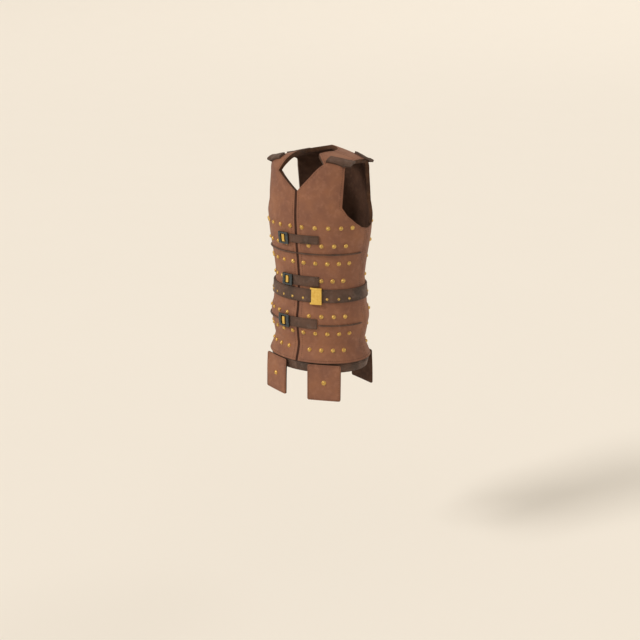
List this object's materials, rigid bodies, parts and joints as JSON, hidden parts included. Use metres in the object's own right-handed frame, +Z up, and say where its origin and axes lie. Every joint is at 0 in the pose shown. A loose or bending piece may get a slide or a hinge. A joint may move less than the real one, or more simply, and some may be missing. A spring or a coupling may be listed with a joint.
{
  "type": "leather brigandine vest",
  "caption": "Brown leather brigandine vest with brass rivets, dark front closures, studded waist belt and hanging tassets, in its worn hollow form.",
  "frame": {"origin": "on the body axis, level with the underside of the shoulder straps, where the wearer's shoulders carry the vest", "axes": "+Z up the body, +X towards the wearer's left, front towards -Y"},
  "size_m": [0.362, 0.2981, 0.8112],
  "materials": {
    "cover_leather": "matt brown vegetable-tanned leather",
    "dark_leather": "matt dark brown leather",
    "placket_leather": "matt very dark brown leather",
    "brass": "satin",
    "gunmetal": "dark satin"
  },
  "bodies": {
    "root": {"front_left": "cover_leather", "front_right": "cover_leather", "back": "cover_leather", "front_placket": "placket_leather", "welt_upper_left": "dark_leather", "welt_upper_right": "dark_leather", "welt_upper_back": "dark_leather", "welt_lower_left": "dark_leather", "welt_lower_right": "dark_leather", "welt_lower_back": "dark_leather", "belt": "dark_leather", "belt_plate": "brass", "closure_strap_1": "dark_leather", "closure_frame_1": "gunmetal", "closure_bar_1": "brass", "closure_strap_2": "dark_leather", "closure_frame_2": "gunmetal", "closure_bar_2": "brass", "closure_strap_3": "dark_leather", "closure_frame_3": "gunmetal", "closure_bar_3": "brass", "hem_band_left": "dark_leather", "hem_band_right": "dark_leather", "hem_band_back": "dark_leather", "tasset_front_left": "cover_leather", "tasset_front_right": "cover_leather", "tasset_back_left": "cover_leather", "tasset_back_right": "cover_leather", "tasset_stud_front_left": "brass", "tasset_stud_front_right": "brass", "tasset_stud_back_left": "brass", "tasset_stud_back_right": "brass", "shoulder_tab_front_left": "dark_leather", "shoulder_tab_front_right": "dark_leather", "shoulder_tab_back_left": "dark_leather", "shoulder_tab_back_right": "dark_leather"}
  },
  "joints": []
}
